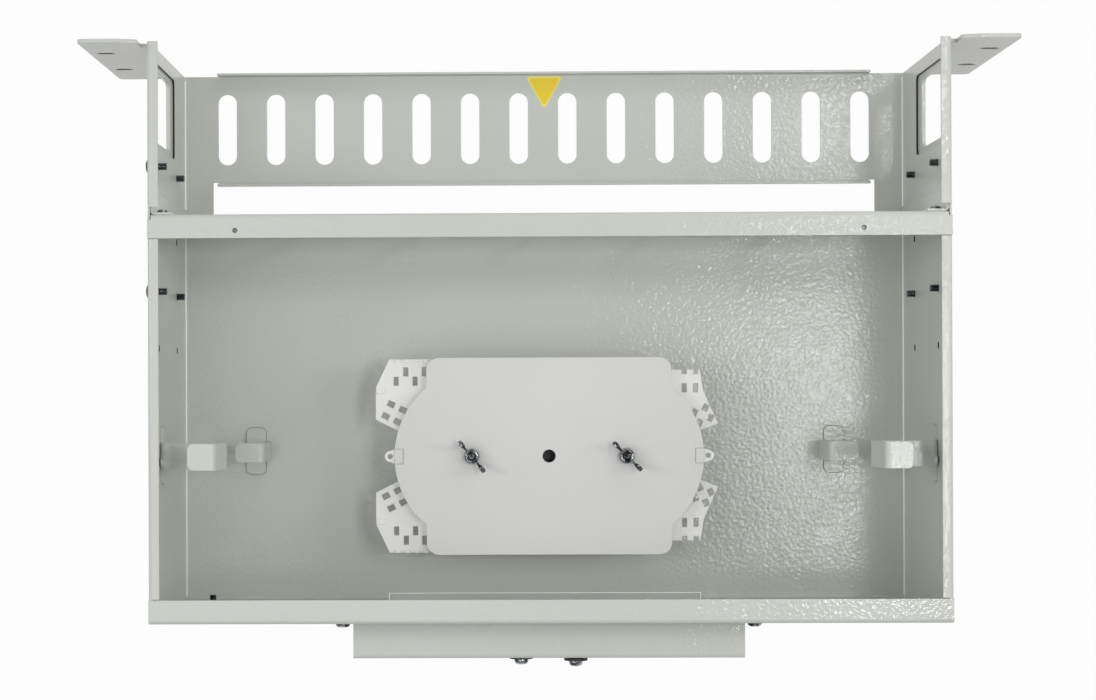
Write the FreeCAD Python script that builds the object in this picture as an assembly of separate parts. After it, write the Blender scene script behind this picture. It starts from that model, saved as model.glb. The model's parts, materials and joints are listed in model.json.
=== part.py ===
import FreeCAD, Part
import math
import os
from FreeCAD import Vector

# Fibre patch panel, 19-inch, three rack units, cover taken off.
# Frame: millimetres, +Z up, front towards -Y, origin under the middle of the floor.

# Folded sheet chassis
sheet = 1.2
bend = 1.0
body_width = 411.0
body_depth = 300.0
body_height = 132.0
side_lip = 5.6
rear_lip = 12.4
lip_seam = 0.4
wall_setback = 1.2
fit_gap = 0.3

# Slotted cable apron in front of the adapter panel
panel_recess = 90.0
apron_depth = 64.0
apron_lip = 7.0
apron_lip_width = 370.0
apron_window_width = 376.0
slot_count = 14
slot_pitch = 27.65
slot_width = 10.5
slot_length = 40.3
slot_front = 11.3

# Openings in the side walls and the fixing holes beside them
wall_window_start = 8.7
wall_window_length = 43.7
wall_window_bottom = 40.0
wall_window_drop = 22.0
window_corner = 4.0
fixing_hole = 4.1
fixing_row_low = 34.0
fixing_row_drop = 32.0
ear_screw_columns = (62.2, 128.0)
spare_columns = (97.6, 157.9, 217.7)

# Rack ears: with the body they make the standard width of 482.6 and hole span of 465.1
ear_sheet = 2.0
ear_bend = 1.5
ear_flange = 35.8
ear_rise = 0.5
ear_plate_drop = 16.0
ear_plate_length = 145.0
ear_corner = 3.0
ear_notch = 3.6
ear_chamfer = (9.5, 2.6)
rack_hole_inset = 8.75
rack_hole_spacing = 57.15
rack_slot_length = 10.0
rack_slot_width = 6.8
ear_window_margin = 3.0
ear_window_rise = 11.0
ear_window_drop = 2.0

# Adapter panel: upright bays for adapter plates, each with a fixing hole above and below
panel_flange = 12.3
panel_floor_gap = 0.1
panel_side_gap = 0.6
bay_count = 6
bay_pitch = 65.0
bay_width = 56.0
bay_margin = 18.0
bay_hole = 4.8
bay_hole_gap = 7.0
cover_hole = 2.6
cover_hole_span = 321.0
cover_hole_back = 8.4
cover_nut_diameter = 6.0
cover_nut_height = 2.4

# Angles that hold the adapter panel
angle_sheet = 1.2
angle_width = 11.0
angle_leg = 12.0
angle_top_gap = 1.6
angle_screw_inset = 6.0
angle_screw_low = 14.0
angle_screw_drop = 12.0

# Machine screws: thread diameter, head diameter, head height
panel_thread = 3.0
panel_head = (5.6, 2.1)
panel_screw_tail = 1.2
ear_thread = 4.0
ear_head = (8.0, 3.4)
ear_screw_tail = 4.3
screw_play = 0.05

# Cable hooks on the walls and on the floor
hook_sheet = 1.5
hook_bend = 1.5
hook_y = 64.5
wall_hook_width = 13.7
wall_hook_base = (31.0, 20.0)
wall_hook_drop = 33.0
wall_hook_reach = 35.0
wall_hook_lean = 3.0
wall_hook_rise = 29.0
wall_hook_finger = 13.6
floor_hook_width = 10.6
floor_hook_base = (14.0, 26.4)
floor_hook_x = 155.4
floor_hook_rise = 42.0
floor_hook_finger = 15.1
hook_corner = 3.0

# Splice tray with its lid, on two studs
tray_x = -1.7
tray_y = 66.7
tray_bottom = 35.0
tray_height = 10.0
tray_floor = 1.6
tray_wall = 1.5
tray_arc = 49.3
tray_arc_middle = 35.6
tray_half_length = 67.3
tray_half_width = 54.1
tray_corner = 7.0
tray_lid_sheet = 1.5
tray_lid_hole = 7.2
tray_wing_rim = 3.0
tray_rim_pitch = 5.2
tray_rim_gap = 2.4
tray_rim_count = 4
tray_rim_start = 64.0
wing_tab = (5.0, 3.0, 0.7)
wing_tab_place = (92.8, 36.2)
lid_tongue = (5.0, 8.6)
lid_groove = 0.5
wing_root = 60.0
long_wing_edge = 53.5
long_wing = ((88.1, 53.5), (95.6, 37.8), (95.6, 20.2), (83.2, 13.9))
short_wing = ((83.5, 47.2), (85.5, 35.2), (93.4, 17.5), (83.2, 13.4))
long_wing_ties = ((78.9, 46.6), (68.6, 46.6), (84.3, 41.4), (73.8, 41.4))
short_wing_ties = ((74.9, 37.2), (81.2, 37.2), (74.9, 47.2), (81.2, 47.2))
long_wing_slanted = ((87.1, 28.7), (80.6, 25.5), (90.1, 22.1), (83.5, 19.0))
short_wing_slanted = ((80.6, 23.6), (83.2, 17.7), (86.7, 26.2), (89.3, 20.5))
tie_hole = (2.8, 5.0)
tie_angle = 26.0
tie_angle_hole = (4.2, 3.4)
eyelet_reach = 87.3
eyelet_outer = 6.0
eyelet_root = 9.2
eyelet_hole = 3.0
stud_span = 84.8
stud_diameter = 4.0
stud_recess = {"left": 0.6, "right": 4.0}
stud_play = 0.25
spacer_across_flats = 8.0
comb_ribs = 12
comb_pitch = 5.0
comb_inner = 8.0
comb_outer = 34.0
comb_rib = 1.4
comb_height = 7.0

# Wing nuts
nut_play = 0.05
nut_hub_bottom = 9.0
nut_hub_top = 7.6
nut_hub_height = 6.5
nut_span = 22.6
nut_wing_thick = 1.5
nut_ear_thick = 2.7
nut_wing_top = 11.5
nut_wing_root = (1.0, 1.2)
nut_wing_heel = 1.0
nut_wing_flare = (1.2, 5.2)
nut_wing_nose = (1.8, 1.5)
nut_wing_back = (4.2, 1.6)
nut_seat_gap = 0.1
nut_turns = (135.0, 130.0)

# Rear cable entry and its hood
entry_width = 177.4
entry_drop = 21.0
entry_notch = 4.4
hood_width = 205.2
hood_depth = 21.2
hood_drop = 31.0
hood_flange = 17.0
hood_ear = 11.5
hood_screw_span = 217.4
hood_screw_drop = 9.0
spring_washer = 1.0
clamp_span = 28.8
clamp_drop = 11.0
clamp_thread = 4.0
clamp_head = (7.4, 3.1)
clamp_washer = (12.5, 1.2)
clamp_tail = 9.0
hex_across_flats = 7.0
hex_height = 3.2
earth_inset = 19.0
earth_tail = 4.2
earth_height = 21.0

# Sizes that follow from those above
half_width = body_width / 2
front_y = -body_depth / 2
rear_y = body_depth / 2
panel_y = front_y + panel_recess
wall_inside = half_width - sheet
rear_inside = rear_y - sheet
rim_middle = body_height - sheet / 2
floor_middle = sheet / 2
wall_window_top = body_height - wall_window_drop
fixing_rows = (fixing_row_low, body_height - fixing_row_drop)
ear_span = body_width + 2 * ear_flange
ear_height = body_height + ear_rise
ear_plate_height = body_height - ear_plate_drop
rack_hole_span = ear_span - 2 * rack_hole_inset
bay_height = body_height - 2 * bay_margin
bay_middle = body_height / 2
bay_hole_spacing = bay_height + 2 * bay_hole_gap
angle_screw_rows = (angle_screw_low, body_height - angle_screw_drop)
wall_hook_height = body_height - wall_hook_drop
hood_height = body_height - hood_drop
hood_screw_height = hood_height - hood_screw_drop
clamp_height = hood_height - clamp_drop
entry_height = hood_height - entry_drop
earth_x = half_width - earth_inset
nut_seat = tray_bottom + tray_height + tray_lid_sheet + nut_seat_gap
sides = {"left": -1, "right": 1}


def box(x0, x1, y0, y1, z0, z1):
    size = (abs(x1 - x0), abs(y1 - y0), abs(z1 - z0))
    return Part.makeBox(*size, Vector(min(x0, x1), min(y0, y1), min(z0, z1)))


def rod(diameter, start, end):
    axis = Vector(*end) - Vector(*start)
    return Part.makeCylinder(diameter / 2, axis.Length, Vector(*start), axis)


def prism(points, height_vector):
    ring = [Vector(*point) for point in points]
    return Part.Face(Part.makePolygon(ring + ring[:1])).extrude(Vector(*height_vector))


def fused(shapes):
    whole = shapes[0].multiFuse(shapes[1:]) if len(shapes) > 1 else shapes[0]
    return whole.removeSplitter()


def hexagon(across_flats, start, end):
    """Hexagonal bar between two points on one axis."""
    axis = Vector(*end) - Vector(*start)
    radius = across_flats / math.sqrt(3)
    angles = [math.pi * k / 3 for k in range(7)]
    ring = [Vector(radius * math.cos(angle), radius * math.sin(angle), 0) for angle in angles]
    bar = Part.Face(Part.makePolygon(ring)).extrude(Vector(0, 0, axis.Length))
    turn = FreeCAD.Rotation(Vector(0, 0, 1), axis)
    bar.Placement = FreeCAD.Placement(Vector(*start), turn)
    return bar


def folded_face(points, thickness, inside_radius, place):
    """Section of a bent strip: points run along the middle of the sheet."""
    half = thickness / 2
    middle_radius = inside_radius + half
    path = [Vector(a, b, 0) for a, b in points]
    runs = [(path[i + 1] - path[i]).normalize() for i in range(len(path) - 1)]
    normals = [Vector(-run.y, run.x, 0) for run in runs]
    chains = {1: [], -1: []}
    last = path[0]
    for i in range(1, len(path) - 1):
        before, after = runs[i - 1], runs[i]
        turn = math.atan2(before.x * after.y - before.y * after.x, before.dot(after))
        reach = middle_radius * math.tan(abs(turn) / 2)
        side = math.copysign(1, turn)
        arc_start = path[i] - before * reach
        arc_end = path[i] + after * reach
        centre = arc_start + normals[i - 1] * (side * middle_radius)
        outward = (path[i] - centre).normalize()
        for face, chain in chains.items():
            shift = normals[i - 1] * (face * half)
            radius = middle_radius - face * side * half
            arc_from = arc_start + shift
            arc_to = arc_end + normals[i] * (face * half)
            chain.append(("line", last + shift, arc_from))
            chain.append(("arc", arc_from, centre + outward * radius, arc_to))
        last = arc_end
    for face, chain in chains.items():
        shift = normals[-1] * (face * half)
        chain.append(("line", last + shift, path[-1] + shift))
    ends = [("line", path[0] + normals[0] * half, path[0] - normals[0] * half)]
    ends.append(("line", path[-1] + normals[-1] * half, path[-1] - normals[-1] * half))
    edges = []
    for kind, *corners in chains[1] + chains[-1] + ends:
        spots = [place(corner.x, corner.y) for corner in corners]
        edges.append(Part.makeLine(*spots) if kind == "line" else Part.Arc(*spots).toShape())
    return Part.Face(Part.Wire(Part.__sortEdges__(edges)))


def fold_along_x(points, x0, x1, thickness, radius):
    face = folded_face(points, thickness, radius, lambda a, b: Vector(x0, a, b))
    return face.extrude(Vector(x1 - x0, 0, 0))


def fold_along_y(points, y0, y1, thickness, radius):
    face = folded_face(points, thickness, radius, lambda a, b: Vector(a, y0, b))
    return face.extrude(Vector(0, y1 - y0, 0))


def fold_along_z(points, z0, z1, thickness, radius):
    face = folded_face(points, thickness, radius, lambda a, b: Vector(a, b, z0))
    return face.extrude(Vector(0, 0, z1 - z0))


def rounded(shape, radius, axis):
    """Round the corner edges that run along one axis."""
    def runs_along(edge):
        if len(edge.Vertexes) != 2:
            return False
        step = edge.Vertexes[1].Point - edge.Vertexes[0].Point
        return abs(abs(step.normalize().dot(Vector(*axis))) - 1) < 1e-6
    return shape.makeFillet(radius, [edge for edge in shape.Edges if runs_along(edge)])


def long_slot(centre, length, width, along, through):
    """Round-ended cutter: along is the slot's own direction, through its depth vector."""
    middle = Vector(*centre)
    reach = Vector(*along) * ((length - width) / 2)
    depth = Vector(*through)
    cross = depth.cross(Vector(*along)).normalize() * (width / 2)
    base = middle - depth / 2
    tips = [base + reach + cross, base + reach - cross, base - reach - cross, base - reach + cross]
    nose = Vector(*along) * (width / 2)
    edges = [
        Part.Arc(tips[0], base + reach + nose, tips[1]).toShape(),
        Part.makeLine(tips[1], tips[2]),
        Part.Arc(tips[2], base - reach - nose, tips[3]).toShape(),
        Part.makeLine(tips[3], tips[0]),
    ]
    return Part.Face(Part.Wire(edges)).extrude(depth)


def pan_screw(thread, head, seat, tip):
    """Pan-head screw: the head stands on the seat, the thread ends at the tip."""
    head_diameter, head_height = head
    seat_point = Vector(*seat)
    shaft = Vector(*tip) - seat_point
    inward = Vector(*shaft).normalize()
    top = seat_point - inward * head_height
    knob = Part.makeCylinder(head_diameter / 2, head_height, seat_point, inward * -1)
    rim = [e for e in knob.Edges if e.Closed and (e.CenterOfMass - top).Length < 1e-6]
    knob = knob.makeChamfer(head_height * 0.45, rim)
    shank = Part.makeCylinder(thread / 2, shaft.Length, seat_point, inward)
    return fused([knob, shank])


def wall_windows(bottom, top, margin, thick_from, thick_to):
    """Rounded opening through a side wall, kept clear by a margin at both ends."""
    start = front_y + wall_window_start + margin
    end = front_y + wall_window_start + wall_window_length - margin
    return rounded(box(thick_from, thick_to, start, end, bottom, top), window_corner, (1, 0, 0))


def chassis():
    wall_middle = half_width - sheet / 2
    lip_end = half_width - side_lip
    trough_section = [(-lip_end, rim_middle), (-wall_middle, rim_middle), (-wall_middle, floor_middle)]
    trough_section += [(-x, z) for x, z in reversed(trough_section)]
    trough = fold_along_y(trough_section, front_y + wall_setback, rear_inside, sheet, bend)
    rear_middle = rear_y - sheet / 2
    rear_section = [
        (rear_y - rear_lip, rim_middle),
        (rear_middle, rim_middle),
        (rear_middle, floor_middle),
        (rear_y - rear_lip, floor_middle),
    ]
    rear = fold_along_x(rear_section, -half_width, half_width, sheet, bend)
    for side in sides.values():
        corner = side * half_width
        relief = sheet + bend
        end = (corner - side * relief, corner + side)
        rear = rear.cut(box(*end, rear_y - rear_lip - 1, rear_y + 1, -1, relief))
        seam_end = rear_y - rear_lip
        inner = side * (half_width - side_lip - 1)
        outer = side * (half_width - sheet - bend)
        seam = box(inner, outer, seam_end - lip_seam, rear_y, rim_middle - sheet, body_height + 1)
        trough = trough.cut(seam)
    body = fused([trough, rear])
    body = body.cut(apron_clearing())
    body = fused([body] + apron())
    return body.cut(Part.makeCompound(chassis_cuts()))


def apron_clearing():
    """Room in the trough's floor for the apron and for the window behind it."""
    apron_half = apron_lip_width / 2 + fit_gap
    window_half = apron_window_width / 2
    split = front_y + apron_depth - sheet - bend - fit_gap
    strip = box(-apron_half, apron_half, front_y - 1, split, -1, sheet + bend)
    window = box(-window_half, window_half, split, panel_y - sheet, -1, sheet + bend)
    return strip.fuse(window)


def apron():
    """Slotted strip with both long edges turned up, joined to the floor at its ends."""
    start = front_y + sheet / 2
    end = front_y + apron_depth - sheet / 2
    section = [(start, apron_lip), (start, floor_middle), (end, floor_middle), (end, apron_lip)]
    strip = fold_along_x(section, -apron_lip_width / 2, apron_lip_width / 2, sheet, bend)
    setback = sheet + bend + fit_gap
    half = apron_lip_width / 2 + fit_gap + sheet
    bridge = box(-half, half, front_y + setback, front_y + apron_depth - setback, 0, sheet)
    cutters = []
    for k in range(slot_count):
        x = (k - (slot_count - 1) / 2) * slot_pitch
        middle = (x, front_y + slot_front + slot_length / 2, sheet / 2)
        cutters.append(long_slot(middle, slot_length, slot_width, (0, 1, 0), (0, 0, 4 * sheet)))
    return [fused([strip, bridge]).cut(Part.makeCompound(cutters))]


def chassis_cuts():
    cuts = []
    for side in sides.values():
        outside = side * (half_width + 1)
        inside = side * (wall_inside - 1)
        cuts.append(wall_windows(wall_window_bottom, wall_window_top, 0, inside, outside))
        for back in ear_screw_columns + spare_columns:
            for height in fixing_rows:
                start = (inside, front_y + back, height)
                cuts.append(rod(fixing_hole, start, (outside, front_y + back, height)))
        lip_inner = side * (half_width - side_lip - 1)
        notch_front = panel_y - angle_sheet - 2 * fit_gap
        notch_rear = panel_y + panel_flange + fit_gap
        seat = body_height - sheet - fit_gap
        cuts.append(box(lip_inner, outside, notch_front - 2, notch_rear, seat, body_height + 1))
        inner_face = side * wall_inside
        cuts.append(box(lip_inner, inner_face, notch_front - 2, notch_rear, seat - 2, body_height + 1))
    half_entry = entry_width / 2
    cuts.append(box(-half_entry, half_entry, rear_y - entry_notch, rear_y + 1, -1, entry_height))
    for side in sides.values():
        cuts.append(rear_hole(side * hood_screw_span / 2, hood_screw_height))
        stud_x = tray_x + side * stud_span / 2
        cuts.append(rod(stud_diameter + 2 * screw_play, (stud_x, tray_y, -1), (stud_x, tray_y, sheet + 1)))
    cuts.append(rear_hole(earth_x, earth_height))
    return cuts


def rear_hole(x, height):
    return rod(clamp_thread + 2 * screw_play, (x, rear_inside - 1, height), (x, rear_y + 1, height))


def front_panel():
    """Upright sheet with bays for adapter plates and a cover flange on top."""
    plate_half = wall_inside - panel_side_gap
    middle_y = panel_y + sheet / 2
    section = [(middle_y, sheet + panel_floor_gap), (middle_y, rim_middle)]
    section.append((panel_y + panel_flange, rim_middle))
    plate = fold_along_x(section, -plate_half, plate_half, sheet, bend)
    flange_front = panel_y + sheet + bend + fit_gap
    flange_rear = panel_y + panel_flange
    flange = box(-half_width, half_width, flange_front, flange_rear, body_height - sheet, body_height)
    cuts = []
    for k in range(bay_count):
        x = (k - (bay_count - 1) / 2) * bay_pitch
        width = (x - bay_width / 2, x + bay_width / 2)
        height = (bay_middle - bay_height / 2, bay_middle + bay_height / 2)
        cuts.append(box(*width, panel_y - 1, panel_y + sheet + 1, *height))
        for sign in (-1, 1):
            z = bay_middle + sign * bay_hole_spacing / 2
            cuts.append(rod(bay_hole, (x, panel_y - 1, z), (x, panel_y + sheet + 1, z)))
    for side in sides.values():
        x = side * cover_hole_span / 2
        y = panel_y + cover_hole_back
        cuts.append(rod(cover_hole, (x, y, body_height - sheet - 1), (x, y, body_height + 1)))
        for height in angle_screw_rows:
            x = side * (wall_inside - angle_width + angle_screw_inset)
            hole = panel_thread + 2 * screw_play
            cuts.append(rod(hole, (x, panel_y - 1, height), (x, panel_y + sheet + 1, height)))
    return fused([plate, flange]).cut(Part.makeCompound(cuts))


def cover_nuts():
    """Clinch nuts under the cover holes."""
    nuts = []
    for side in sides.values():
        x = side * cover_hole_span / 2
        y = panel_y + cover_hole_back
        top = body_height - sheet
        barrel = rod(cover_nut_diameter, (x, y, top - cover_nut_height), (x, y, top))
        nuts.append(barrel.cut(rod(cover_hole, (x, y, top - cover_nut_height - 1), (x, y, top + 1))))
    return Part.makeCompound(nuts)


def panel_angle(side):
    """Upright angle on the side wall, in front of the panel's end."""
    face_y = panel_y - fit_gap / 3 - angle_sheet / 2
    wall_x = side * (wall_inside - angle_sheet / 2)
    section = [(side * (wall_inside - angle_width), face_y), (wall_x, face_y), (wall_x, face_y - angle_leg)]
    bottom = sheet + bend + fit_gap
    angle = fold_along_z(section, bottom, body_height - sheet - angle_top_gap, angle_sheet, bend)
    cuts = []
    for height in angle_screw_rows:
        x = side * (wall_inside - angle_width + angle_screw_inset)
        hole = panel_thread + 2 * screw_play
        cuts.append(rod(hole, (x, face_y - 1, height), (x, face_y + 1, height)))
    return angle.cut(Part.makeCompound(cuts))


def panel_screws():
    seat = panel_y - fit_gap / 3 - angle_sheet
    tip = panel_y + sheet + panel_screw_tail
    screws = []
    for side in sides.values():
        x = side * (wall_inside - angle_width + angle_screw_inset)
        for height in angle_screw_rows:
            screws.append(pan_screw(panel_thread, panel_head, (x, seat, height), (x, tip, height)))
    return Part.makeCompound(screws)


def rack_ear(side):
    """Folded ear: a plate along the wall and a flange with the two rack slots."""
    plate_x = half_width + ear_sheet / 2
    flange_y = front_y + ear_sheet / 2
    section = [(ear_span / 2, flange_y), (plate_x, flange_y), (plate_x, front_y + ear_plate_length)]
    section = [(side * x, y) for x, y in section]
    ear = fold_along_z(section, 0, ear_height, ear_sheet, ear_bend)
    root = half_width + ear_sheet + ear_notch
    high = ear_plate_height
    cuts = [box(side * (half_width - 1), side * root, front_y - 1, rear_y, high, ear_height + 1)]
    slope_run, slope_drop = ear_chamfer
    chamfer = [(root, ear_height - slope_drop), (root + slope_run, ear_height), (root, ear_height)]
    ends = [(side * x, front_y - 1, z) for x, z in chamfer]
    cuts.append(prism(ends, (0, ear_sheet + 2, 0)))
    for sign in (-1, 1):
        z = ear_height / 2 + sign * rack_hole_spacing / 2
        middle = (side * rack_hole_span / 2, flange_y, z)
        cuts.append(long_slot(middle, rack_slot_length, rack_slot_width, (1, 0, 0), (0, 3 * ear_sheet, 0)))
    outside = side * (half_width + ear_sheet + 1)
    inside = side * (half_width - 1)
    window = (wall_window_bottom + ear_window_rise, wall_window_top - ear_window_drop)
    cuts.append(wall_windows(*window, ear_window_margin, inside, outside))
    for back in ear_screw_columns:
        for height in fixing_rows:
            ends = (front_y + back, height)
            cuts.append(rod(fixing_hole, (inside, *ends), (outside, *ends)))
    ear = ear.cut(Part.makeCompound(cuts))
    tip = side * ear_span / 2
    corners = [e for e in ear.Edges if len(e.Vertexes) == 2 and all(
        abs(v.X - tip) < 1e-6 and (v.Z < 1e-6 or v.Z > ear_height - 1e-6) for v in e.Vertexes)]
    corners = [e for e in corners if abs(e.Vertexes[0].Z - e.Vertexes[1].Z) < 1e-6]
    return ear.makeFillet(ear_corner, corners)


def ear_screws(side):
    seat = side * (half_width + ear_sheet)
    tip = side * (wall_inside - ear_screw_tail)
    screws = []
    for back in ear_screw_columns:
        for height in fixing_rows:
            spot = (front_y + back, height)
            screws.append(pan_screw(ear_thread, ear_head, (seat, *spot), (tip, *spot)))
    return Part.makeCompound(screws)


def wall_hook(side):
    """Hook on the side wall: a base, a tongue, a leaning riser and a finger bent back."""
    half = hook_sheet / 2
    wall_x = wall_inside - half
    level = wall_hook_height
    base_length, base_height = wall_hook_base
    top = level + wall_hook_rise
    riser_x = wall_inside - wall_hook_reach
    finger_x = riser_x + wall_hook_lean
    section = [(wall_x, level - base_height), (wall_x, level), (riser_x, level), (finger_x, top)]
    section.append((finger_x + wall_hook_finger, top))
    section = [(side * x, z) for x, z in section]
    start = hook_y - wall_hook_width / 2
    strip = fold_along_y(section, start, start + wall_hook_width, hook_sheet, hook_bend)
    strip = strip_tip_rounded(strip, side * (finger_x + wall_hook_finger))
    base_top = level - hook_sheet - hook_bend
    base = box(side * wall_inside, side * (wall_inside - hook_sheet), hook_y - base_length / 2,
               hook_y + base_length / 2, level - base_height, base_top)
    return fused([strip, rounded(base, hook_corner, (1, 0, 0))])


def strip_tip_rounded(strip, tip_x):
    """Round the two free corners at the end of a finger."""
    edges = [e for e in strip.Edges if len(e.Vertexes) == 2]
    ends = [e for e in edges if all(abs(v.X - tip_x) < 1e-6 for v in e.Vertexes)]
    upright = [e for e in ends if abs(e.Vertexes[0].Z - e.Vertexes[1].Z) > hook_sheet / 2]
    return strip.makeFillet(hook_corner, upright)


def floor_hook(side):
    """Hook on the floor: a round-cornered foot, a riser and a finger towards the wall."""
    half = hook_sheet / 2
    foot_length, foot_width = floor_hook_base
    level = sheet + half
    riser_x = floor_hook_x + half
    top = sheet + floor_hook_rise
    section = [(floor_hook_x + foot_length, level), (riser_x, level), (riser_x, top)]
    section.append((riser_x + floor_hook_finger, top))
    section = [(side * x, z) for x, z in section]
    start = hook_y - floor_hook_width / 2
    strip = fold_along_y(section, start, start + floor_hook_width, hook_sheet, hook_bend)
    strip = strip_tip_rounded(strip, side * (riser_x + floor_hook_finger))
    foot_start = floor_hook_x + hook_sheet + hook_bend
    foot = box(side * foot_start, side * (floor_hook_x + foot_length), hook_y - foot_width / 2,
               hook_y + foot_width / 2, sheet, sheet + hook_sheet)
    return fused([strip, rounded(foot, hook_corner, (0, 0, 1))])


def tray_outline(grow, z, height):
    """Lid-shaped block: a stadium joined with a round-cornered rectangle, about the tray's middle."""
    arc = tray_arc + grow
    parts = [box(-tray_arc_middle, tray_arc_middle, -arc, arc, z, z + height)]
    for sign in (-1, 1):
        parts.append(rod(2 * arc, (sign * tray_arc_middle, 0, z), (sign * tray_arc_middle, 0, z + height)))
    half_length = tray_half_length + grow
    half_width_here = tray_half_width + grow
    plate = box(-half_length, half_length, -half_width_here, half_width_here, z, z + height)
    parts.append(rounded(plate, tray_corner + grow, (0, 0, 1)))
    return fused(parts)


def tray_wings(z, height):
    """Four wings beyond the lid, long pair at the +X end, short pair at the -X end."""
    wings = []
    for mirror in (-1, 1):
        for end, outline in ((1, long_wing), (-1, short_wing)):
            inner = [(wing_root, outline[-1][1]), (wing_root, outline[0][1])]
            ring = [(end * x, mirror * y, z) for x, y in list(outline) + inner]
            wings.append(prism(ring, (0, 0, height)))
    return wings


def tie_holes(z):
    """Cable-tie holes in the wings: upright ones and slanted ones, mirrored."""
    holes = []
    for mirror in (-1, 1):
        for end, spots in ((1, long_wing_ties), (-1, short_wing_ties)):
            for x, y in spots:
                holes.append(tilted_hole(end * x, mirror * y, z, tie_hole, 0))
        for end, spots in ((1, long_wing_slanted), (-1, short_wing_slanted)):
            size = tie_angle_hole[::end]
            for x, y in spots:
                holes.append(tilted_hole(end * x, mirror * y, z, size, mirror * tie_angle))
    return holes


def tilted_hole(x, y, z, size, angle):
    width, length = size
    hole = Part.makeBox(width, length, 4 * tray_floor, Vector(-width / 2, -length / 2, -2 * tray_floor))
    hole.Placement = FreeCAD.Placement(Vector(x, y, z), FreeCAD.Rotation(Vector(0, 0, 1), angle))
    return hole


def wing_rims(z):
    """Low upright rim on the long wings' outer edge, gapped for the ties."""
    rims = []
    for mirror in (-1, 1):
        outer = mirror * long_wing_edge
        inner = mirror * (long_wing_edge - tray_floor)
        for k in range(tray_rim_count):
            start = tray_rim_start + k * tray_rim_pitch
            end = start + tray_rim_pitch
            rims.append(box(start + tray_rim_gap, end, inner, outer, z, z + tray_wing_rim))
    return rims


def wing_tabs(z):
    """Small raised pad near the outer edge of each long wing."""
    length, width, height = wing_tab
    x, y = wing_tab_place
    spots = [mirror * y for mirror in (-1, 1)]
    return [box(x - length / 2, x + length / 2, s - width / 2, s + width / 2, z, z + height) for s in spots]


def eyelets(z, height):
    """Ring at each end of the tray, on a neck that widens towards the wall."""
    rings = []
    for sign in (-1, 1):
        x = sign * eyelet_reach
        root = sign * (tray_arc_middle + tray_arc - tray_wall)
        half_root, half = eyelet_root / 2, eyelet_outer / 2
        corners = [(root, -half_root), (x, -half), (x, half), (root, half_root)]
        neck = prism([(a, b, z) for a, b in corners], (0, 0, height))
        ring = fused([neck, rod(eyelet_outer, (x, 0, z), (x, 0, z + height))])
        rings.append(ring.cut(rod(eyelet_hole, (x, 0, z - 1), (x, 0, z + height + 1))))
    return rings


def at_tray(shape):
    shape.translate(Vector(tray_x, tray_y, 0))
    return shape


def stud_bores(z, height):
    diameter = stud_diameter + 2 * stud_play
    spots = [side * stud_span / 2 for side in sides.values()]
    return [rod(diameter, (x, 0, z), (x, 0, z + height)) for x in spots]


def splice_tray():
    """Open moulded tray with a wall under the lid's edge, tie wings and end eyelets."""
    z = tray_bottom
    block = tray_outline(-fit_gap, z, tray_height)
    hollow = tray_outline(-fit_gap - tray_wall, z + tray_floor, tray_height)
    flat = fused(tray_wings(z, tray_floor))
    flat = flat.cut(Part.makeCompound(tie_holes(z)))
    rings = eyelets(z + tray_height - tray_floor, tray_floor)
    boss_size = spacer_across_flats + 2 * tray_wall
    tray = fused([block.cut(hollow), flat] + wing_rims(z) + wing_tabs(z + tray_floor) + rings)
    bosses = [rod(tray_lid_hole + 2 * tray_wall, (0, 0, z), (0, 0, z + tray_height))]
    for side in sides.values():
        x = side * stud_span / 2
        bosses.append(rod(boss_size, (x, 0, z), (x, 0, z + tray_height)))
    bores = stud_bores(z - 1, tray_height + 2)
    bores.append(rod(tray_lid_hole, (0, 0, z - 1), (0, 0, z + tray_height + 1)))
    return at_tray(fused([tray] + bosses).cut(Part.makeCompound(bores)))


def tray_lid():
    """Flat lid with stud holes, a middle hole and a grooved latch tongue at each end."""
    z = tray_bottom + tray_height
    lid = tray_outline(0, z, tray_lid_sheet)
    cuts = stud_bores(z - 1, tray_lid_sheet + 2)
    cuts.append(rod(tray_lid_hole, (0, 0, z - 1), (0, 0, z + tray_lid_sheet + 1)))
    for sign in (-1, 1):
        edge = sign * (tray_arc + tray_arc_middle)
        tongue_length, tongue_width = lid_tongue
        start = edge - sign * tongue_length
        half = tongue_width / 2
        groove = (z + tray_lid_sheet - lid_groove, z + 2 * tray_lid_sheet)
        cuts.append(box(start, start + sign * lid_groove, -half, half, *groove))
        for shift in (-half, half - lid_groove):
            cuts.append(box(start, edge + sign, shift, shift + lid_groove, *groove))
    return at_tray(lid.cut(Part.makeCompound(cuts)))


def splice_comb():
    """Two rows of ribs that the splice sleeves lie between, on the tray floor between the studs."""
    z = tray_bottom + tray_floor
    depth = comb_pitch * (comb_ribs - 1) + comb_rib
    combs = []
    for side in sides.values():
        ends = (side * comb_inner, side * comb_outer)
        parts = [box(*ends, -depth / 2, depth / 2, z, z + comb_rib)]
        for k in range(comb_ribs):
            y = (k - (comb_ribs - 1) / 2) * comb_pitch
            parts.append(box(*ends, y - comb_rib / 2, y + comb_rib / 2, z, z + comb_height))
        combs.append(fused(parts))
    return at_tray(Part.makeCompound(combs))


def tray_stud(side, recess):
    """Stud that ends a little below the top of its nut."""
    x = tray_x + side * stud_span / 2
    stud = rod(stud_diameter, (x, tray_y, 0), (x, tray_y, nut_seat + nut_hub_height - recess))
    top = [e for e in stud.Edges if e.Closed and e.CenterOfMass.z > sheet]
    return stud.makeChamfer(stud_diameter / 10, top)


def tray_spacer(side):
    x = tray_x + side * stud_span / 2
    spacer = hexagon(spacer_across_flats, (x, tray_y, sheet), (x, tray_y, tray_bottom))
    bore = stud_diameter + 2 * stud_play
    return spacer.cut(rod(bore, (x, tray_y, 0), (x, tray_y, tray_bottom + 1)))


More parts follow.
